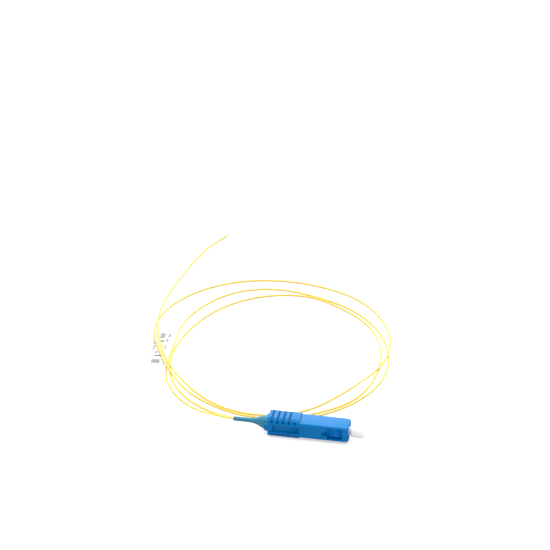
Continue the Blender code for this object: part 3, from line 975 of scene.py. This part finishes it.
        def keyways(x: np.ndarray, radius: np.ndarray, angle: np.ndarray) -> np.ndarray:
            """Four shallow slots along the flange's rim."""
            slot = np.clip((np.abs(np.sin(2 * angle)) * -1 + 0.32) / 0.08, 0, 1)
            return np.where(radius > 1.75 * MM, -0.22 * MM * slot, 0.0) * (x > rear_x - 0.01 * MM)

        item = Lathe(self.lathe.axis_height, 128).turn("flange", rounded_profile(corners), keyways)
        dress(item, self.steel, Body.FERRULE, Slot.STEEL, "ferrule_flange")

    def spring(self) -> None:
        """The coil spring behind the flange, wound close at both ends.

        The wire's centre turns evenly, and moves along X by t - 0.6 * sin(2 pi t) / (2 pi) of the length.
        """
        low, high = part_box("ferrule_spring")
        wire, turns = self.spring_wire, self.spring_turns
        radius = (high.z - low.z) / 2 - wire
        share = np.linspace(0, 1, turns * 36 + 1)
        angle = FULL_TURN * turns * share
        start_x, length = low.x + wire, high.x - low.x - 2 * wire
        x = start_x + length * (share - 0.6 * np.sin(FULL_TURN * share) / FULL_TURN)
        outward = np.column_stack([np.zeros_like(share), np.cos(angle), np.sin(angle)])
        centre = radius * outward
        centre[:, 0] = x
        centre[:, 2] += self.lathe.axis_height
        ring = np.linspace(0, FULL_TURN, 10, endpoint=False)[None, :, None]
        forward = np.array([1.0, 0.0, 0.0])
        points = centre[:, None] + wire * (np.cos(ring) * outward[:, None] + np.sin(ring) * forward)
        item = surface("ferrule_coil_spring", points, columns_close=True, caps=True)
        dress(item, self.steel, Body.ROOT, Slot.STEEL, "ferrule_spring")
        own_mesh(item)

    def rear_body(self) -> None:
        """The crimp body: a nose in the plug frame, a collar, and a knurled post in the boot."""
        low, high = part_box("rear_body")
        nose, collar, post, hole = 2.0 * MM, (high.z - low.z) / 2, 2.1 * MM, self.fibre_bore / 2
        collar_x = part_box("plug_frame")[0].x - self.clearance
        post_x = collar_x - 1.9 * MM
        corners = [
            (low.x, hole, 0.15 * MM),
            (high.x, hole, 0.15 * MM),
            (high.x, nose, 0.2 * MM),
            (collar_x, nose, 0.1 * MM),
            (collar_x, collar, 0.2 * MM),
            (post_x, collar, 0.2 * MM),
            (post_x, post, 0.1 * MM),
            (low.x, post, 0.2 * MM),
        ]

        def knurl(x: np.ndarray, radius: np.ndarray, angle: np.ndarray) -> np.ndarray:
            """Crossed grooves on the post, where two slanted waves are both low."""
            slant = x * (FULL_TURN / (0.8 * MM))
            wave = np.maximum(np.sin(14 * angle + slant), np.sin(14 * angle - slant))
            on_post = (x < post_x - 0.4 * MM) & (x > low.x + 0.5 * MM) & (radius > post - 0.01 * MM)
            return np.where(on_post, -0.07 * MM * (0.5 - 0.5 * wave), 0.0)

        profile = refined(rounded_profile(corners), 0.12 * MM)
        item = Lathe(self.lathe.axis_height, 112).turn("crimp_body", profile, knurl)
        dress(item, self.steel, Body.ROOT, Slot.STEEL, "rear_body")


def smooth_curve(points: np.ndarray, steps: int) -> np.ndarray:
    """Reads a natural cubic spline through points, at even steps along its length.

    Args:
        points: The points that the curve goes through.
        steps: The number of points to read.

    Returns:
        The points on the curve.
    """
    chord = np.linalg.norm(np.diff(points, axis=0), axis=1)
    knots = np.concatenate([[0.0], np.cumsum(chord)])
    count = len(points)
    inner = np.arange(1, count - 1)
    system = np.eye(count)
    system[inner, inner - 1] = chord[:-1]
    system[inner, inner] = 2 * (chord[:-1] + chord[1:])
    system[inner, inner + 1] = chord[1:]
    slope = np.diff(points, axis=0) / chord[:, None]
    right = np.zeros((count, 3))
    right[1:-1] = 6 * np.diff(slope, axis=0)
    bend = np.linalg.solve(system, right)

    def read(at: np.ndarray) -> np.ndarray:
        """Returns the spline's points at these distances along the chords."""
        i = np.clip(np.searchsorted(knots, at) - 1, 0, count - 2)
        span = chord[i][:, None]
        a = (knots[i + 1] - at)[:, None] / span
        b = 1 - a
        line = a * points[i] + b * points[i + 1]
        return line + ((a**3 - a) * bend[i] + (b**3 - b) * bend[i + 1]) * span**2 / 6

    fine = read(np.linspace(0, knots[-1], 12 * steps))
    length = np.concatenate([[0.0], np.cumsum(np.linalg.norm(np.diff(fine, axis=0), axis=1))])
    even = np.linspace(0, length[-1], steps)
    return np.column_stack([np.interp(even, length, fine[:, k]) for k in range(3)])


# The fibre's route in millimetres, from the boot's tip round three loops to the free end. It rises over
# each strand that it crosses, and over the label.
ROUTE_MM = [
    (-33.0, 0.1, 4.75), (-38.0, 1.8, 4.3), (-46.0, 6.7, 2.0), (-57.0, 15.4, 0.6),
    (-68.0, 30.6, 0.5), (-71.8, 46.0, 0.5), (-72.2, 62.0, 0.5), (-72.6, 80.0, 0.5),
    (-67.3, 98.2, 0.5), (-52.6, 117.0, 0.5), (-30.0, 123.6, 0.5), (-14.0, 120.4, 0.5),
    (0.7, 114.5, 0.5), (19.3, 98.4, 0.5), (29.4, 77.8, 0.5), (31.9, 60.0, 0.5),
    (20.7, 28.7, 0.5), (8.2, 16.9, 0.5), (-10.0, 8.6, 0.5), (-32.0, 6.6, 0.5),
    (-54.0, 16.8, 0.5), (-67.0, 34.5, 0.5), (-70.8, 50.0, 0.5), (-70.9, 61.0, 0.5),
    (-66.6, 81.5, 0.5), (-53.0, 105.0, 0.5), (-34.0, 117.2, 0.5), (-14.0, 118.8, 0.5),
    (-0.9, 112.8, 0.5), (16.8, 97.8, 0.5), (27.9, 64.0, 0.5), (26.9, 50.0, 0.5),
    (19.2, 29.8, 0.5), (7.4, 18.9, 0.5), (-10.0, 10.6, 0.5), (-32.0, 10.5, 0.5),
    (-44.0, 15.4, 0.5), (-55.2, 22.8, 0.6), (-69.8, 40.3, 1.8), (-78.0, 56.0, 1.2),
    (-83.3, 68.2, 1.1), (-84.3, 90.0, 0.6), (-72.0, 114.0, 0.5), (-44.0, 130.8, 0.5),
    (-16.0, 131.2, 0.5), (10.5, 119.4, 0.5), (25.4, 99.3, 0.5), (30.9, 76.0, 1.5),
    (27.2, 56.6, 1.6), (16.3, 38.6, 0.5), (0.5, 18.9, 0.5), (-12.0, 12.6, 0.5),
    (-32.0, 12.2, 0.5), (-44.0, 17.3, 0.5), (-56.0, 27.0, 0.7), (-68.5, 41.2, 1.8),
    (-78.0, 59.0, 2.3), (-84.4, 80.6, 2.2), (-86.1, 97.0, 0.9), (-85.3, 114.0, 0.5),
    (-80.2, 145.4, 0.5), (-76.3, 159.8, 0.5), (-69.0, 175.0, 0.5),
]


@dataclass(frozen=True)
class Fibre:
    """The tight-buffered fibre, from inside the boot to its bare end."""

    axis_height: float
    jacket: Finish
    glass: Finish
    diameter: float = 0.9 * MM
    length: float = 1.2546
    in_boot: float = 4.0 * MM
    rest_height: float = 0.5 * MM
    steps: int = 1100
    sides: int = 12

    @cached_property
    def exit(self) -> tuple[float, float, float]:
        """Where the fibre leaves the boot."""
        return (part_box("strain_relief_boot")[0].x, 0.0, self.axis_height)

    @cached_property
    def path(self) -> np.ndarray:
        """The centre line, straight in the boot and never lower than the floor lets it lie."""
        x, y, z = self.exit
        route = np.vstack([(x + self.in_boot, y, z), (x, y, z), np.array(ROUTE_MM) * MM])
        points = smooth_curve(route, self.steps)
        points[:, 2] = np.maximum(points[:, 2], self.rest_height)
        return points

    def build(self, label_pieces: Sequence[bpy.types.Object]) -> None:
        """Builds the buffered fibre and the glass that shows at its cut end.

        Args:
            label_pieces: The label's pieces, which are on the fibre. Not used.
        """
        radius = self.diameter / 2
        points = swept(self.path, radius, self.sides)
        points = np.concatenate([points, points[:, :1]], axis=1)
        along = np.concatenate([[0.0], np.cumsum(np.linalg.norm(np.diff(self.path, axis=0), axis=1))])
        around = np.linspace(0, 1, self.sides + 1)
        sheet = np.stack(np.broadcast_arrays(around[None, :], along[:, None]), axis=-1)
        item = surface("buffered_fibre", points, caps=True, sheet=sheet)
        dress(item, self.jacket, Body.ROOT, Slot.BUFFER, "fibre_cord")
        end, before = self.path[-1], self.path[-2]
        ahead = (end - before) / np.linalg.norm(end - before)
        stub = np.array([end - ahead * MM, end + ahead * 0.12 * MM])
        core = surface("bare_glass_end", swept(stub, 0.125 * MM, 12), columns_close=True, caps=True)
        dress(core, self.glass, Body.ROOT, Slot.BUFFER)
        self.path.tolist()


@dataclass(frozen=True)
class FlagLabel:
    """The flag label: a flat film on the floor, and a clear sleeve that holds it to the fibre."""

    film: Finish
    sleeve_film: Finish
    width: float = 12.4 * MM
    length: float = 31.0 * MM
    thickness: float = 0.16 * MM
    centre: tuple[float, float] = (-80.5 * MM, 58.2 * MM)
    turn: float = math.radians(5.4)
    lift: float = 0.15 * MM
    sleeve_station: float = 0.775
    sleeve_length: float = 9.0 * MM
    sleeve_wall: float = 0.3 * MM

    def sheet(self) -> bpy.types.Object:
        """The film. Its height is a shallow wave, and its free corners lift with the fourth power."""
        u = np.linspace(-0.5, 0.5, 33)[:, None]
        v = np.linspace(-0.5, 0.5, 65)[None, :]
        across, along = np.broadcast_arrays(u * self.width, v * self.length)
        wave = 0.04 * MM * (1 - np.cos(FULL_TURN * (v + 0.5)))
        corner = self.lift * (np.clip(-u * 2, 0, 1) ** 4 * np.abs(v * 2) ** 4)
        height = 0.02 * MM + wave + corner
        cosine, sine = math.cos(self.turn), math.sin(self.turn)
        x = self.centre[0] + across * cosine - along * sine
        y = self.centre[1] + across * sine + along * cosine
        top = np.stack([x, y, height + self.thickness], axis=-1)
        bottom = np.stack([x, y, height], axis=-1)
        points = np.concatenate([top, bottom[:, ::-1]], axis=1)
        spread = np.stack([across, along], axis=-1)
        spread = np.concatenate([spread, spread[:, ::-1] + 1.0], axis=1)
        return surface("label_film", points, columns_close=True, caps=True, sheet=spread)

    def sleeve(self, fibre: Fibre) -> bpy.types.Object:
        """The short sleeve round the fibre.

        Args:
            fibre: The fibre that it slides on.

        Returns:
            The sleeve.
        """
        step = fibre.length / (fibre.steps - 1)
        middle = round(self.sleeve_station / step)
        half = round(self.sleeve_length / 2 / step)
        path = fibre.path[middle - half : middle + half + 1]
        bore = fibre.diameter / 2 + 0.08 * MM
        outer = swept(path, bore + self.sleeve_wall, 24)
        inner = swept(path, bore, 24)
        points = np.concatenate([outer, inner[::-1]], axis=0)
        return surface("label_sleeve", points, rows_close=True, columns_close=True)

    def build(self, fibre: Fibre) -> list[bpy.types.Object]:
        """Builds the label's pieces.

        Args:
            fibre: The fibre that carries the label.

        Returns:
            The pieces.
        """
        sheet = dress(self.sheet(), self.film, Body.ROOT, Slot.LABEL, "flag_label")
        sleeve = dress(self.sleeve(fibre), self.sleeve_film, Body.ROOT, Slot.LABEL)
        return [sheet, sleeve]


@dataclass(frozen=True)
class SoftLight:
    """A square soft light that faces a point."""

    name: str
    place: tuple[float, float, float]
    target: tuple[float, float, float]
    size: tuple[float, float]
    power: float

    def build(self) -> None:
        """Adds the light."""
        light = bpy.data.lights.new(self.name, "AREA")
        light.shape = "RECTANGLE"
        light.size, light.size_y = self.size
        light.energy = self.power
        item = bpy.data.objects.new(self.name, light)
        item.location = self.place
        item.rotation_euler = (Vector(self.target) - Vector(self.place)).to_track_quat("-Z", "Y").to_euler()
        bpy.context.scene.collection.objects.link(item)


@dataclass(frozen=True)
class Studio:
    """The pale floor, the soft lights and the camera."""

    paper: Finish
    target: tuple[float, float, float] = (-36.9 * MM, 138.7 * MM, 0.0)
    distance: float = 1.0
    azimuth: float = math.radians(10.61)
    elevation: float = math.radians(30.0)
    field_width: float = 282.4 * MM
    floor_reach: float = 3.0
    sky: float = 0.58

    def build(self) -> None:
        """Adds everything that isn't part of the object."""
        self.floor()
        self.lights()
        self.camera()
        bpy.context.scene.view_settings.view_transform = "Standard"

    def floor(self) -> None:
        """A square of paper under the object."""
        reach = np.array([-1.0, 1.0]) * self.floor_reach
        x, y = np.meshgrid(reach, reach, indexing="ij")
        item = surface("paper_floor", np.stack([x, y, np.zeros_like(x)], axis=-1))
        item.data.materials.append(self.paper.build())

    def lights(self) -> None:
        """A broad light above and a little behind, a low one further back, and an even dim sky."""
        middle = (self.target[0], self.target[1], 0.0)
        SoftLight("overhead", (-0.05, 0.2, 1.3), middle, (2.0, 2.0), 23.0).build()
        SoftLight("backdrop_glow", (-0.3, 1.75, 0.9), middle, (2.6, 1.3), 41.0).build()
        world = bpy.data.worlds.new("pale_sky")
        world.use_nodes = True
        sky = world.node_tree.nodes["Background"]
        sky.inputs["Color"].default_value = (1.0, 1.0, 1.0, 1.0)
        sky.inputs["Strength"].default_value = self.sky
        bpy.context.scene.world = world

    def camera(self) -> None:
        """The camera, which looks at the target from the front, above and a little to the right."""
        a, e = self.azimuth, self.elevation
        back = Vector((math.sin(a) * math.cos(e), -math.cos(a) * math.cos(e), math.sin(e)))
        camera = bpy.data.cameras.new("camera")
        camera.lens = camera.sensor_width * self.distance / self.field_width
        camera.clip_start, camera.clip_end = 0.01, 20.0
        item = bpy.data.objects.new("camera", camera)
        item.location = Vector(self.target) + back * self.distance
        item.rotation_euler = (-back).to_track_quat("-Z", "Y").to_euler()
        bpy.context.scene.collection.objects.link(item)
        bpy.context.scene.camera = item


# The label's print marks: from and to across it, from and to along it, in millimetres, and the ink.
MARKS_MM = (
    (0.9, 3.4, 9.4, 14.3, 0.72),
    (4.7, 6.1, 10.4, 14.0, 0.66),
    (4.0, 5.4, 5.9, 9.4, 0.66),
    (1.5, 3.5, 5.6, 8.0, 0.72),
    (2.2, 3.5, 0.8, 3.7, 0.62),
    (4.0, 5.2, -0.6, 4.0, 0.56),
    (-1.4, -0.7, 3.8, 5.8, 0.62),
    (-1.4, -0.3, -1.6, 2.9, 0.6),
    (-0.2, 1.6, -4.4, -2.4, 0.56),
    (0.1, 3.6, -6.7, -5.6, 0.95),
    (-0.4, 3.6, -12.9, -9.5, 0.78),
)
LABEL_MARKS = tuple(
    PrintMark((left * MM, right * MM), (near * MM, far * MM), ink)
    for left, right, near, far, ink in MARKS_MM
)


def main() -> None:
    """Builds the pigtail, then its studio."""
    logging.basicConfig(level=logging.INFO, format="%(message)s")
    low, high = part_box("ferrule")
    axis_height = (low.z + high.z) / 2
    glass = ClearGlass("bare_glass", (0.55, 0.6, 0.62))
    Connector(
        lathe=Lathe(axis_height),
        housing_blue=MouldedPlastic("housing_plastic", (0.0, 0.178, 0.49), specular=0.12),
        # The plug frame's blue is brighter than the housing's: painted light that makes up for the shade
        # inside the side windows.
        frame_blue=MouldedPlastic("plug_frame_plastic", (0.0, 0.23, 0.76), roughness=0.4, specular=0.1),
        boot_blue=SoftRubber("boot_rubber", (0.024, 0.207, 0.332)),
        cap_white=MilkyPlastic("cap_polyethylene", (0.95, 0.95, 0.955)),
        ceramic=PolishedCeramic("zirconia", (0.9, 0.9, 0.87)),
        steel=TurnedMetal("nickel_plate", (0.66, 0.64, 0.6)),
        glass=glass,
    ).build()
    fibre = Fibre(axis_height, BufferJacket("yellow_buffer", (0.88, 0.64, 0.105)), glass)
    label = FlagLabel(
        film=PrintedFilm("label_print", (0.68, 0.68, 0.675), (0.06, 0.06, 0.07), LABEL_MARKS),
        sleeve_film=ClearFilm("sleeve_film", (0.9, 0.9, 0.88)),
    )
    fibre.build(label.build(fibre))
    Studio(StudioPaper("studio_paper", (0.66, 0.66, 0.66), glow=0.5)).build()


if __name__ == "__main__":
    main()
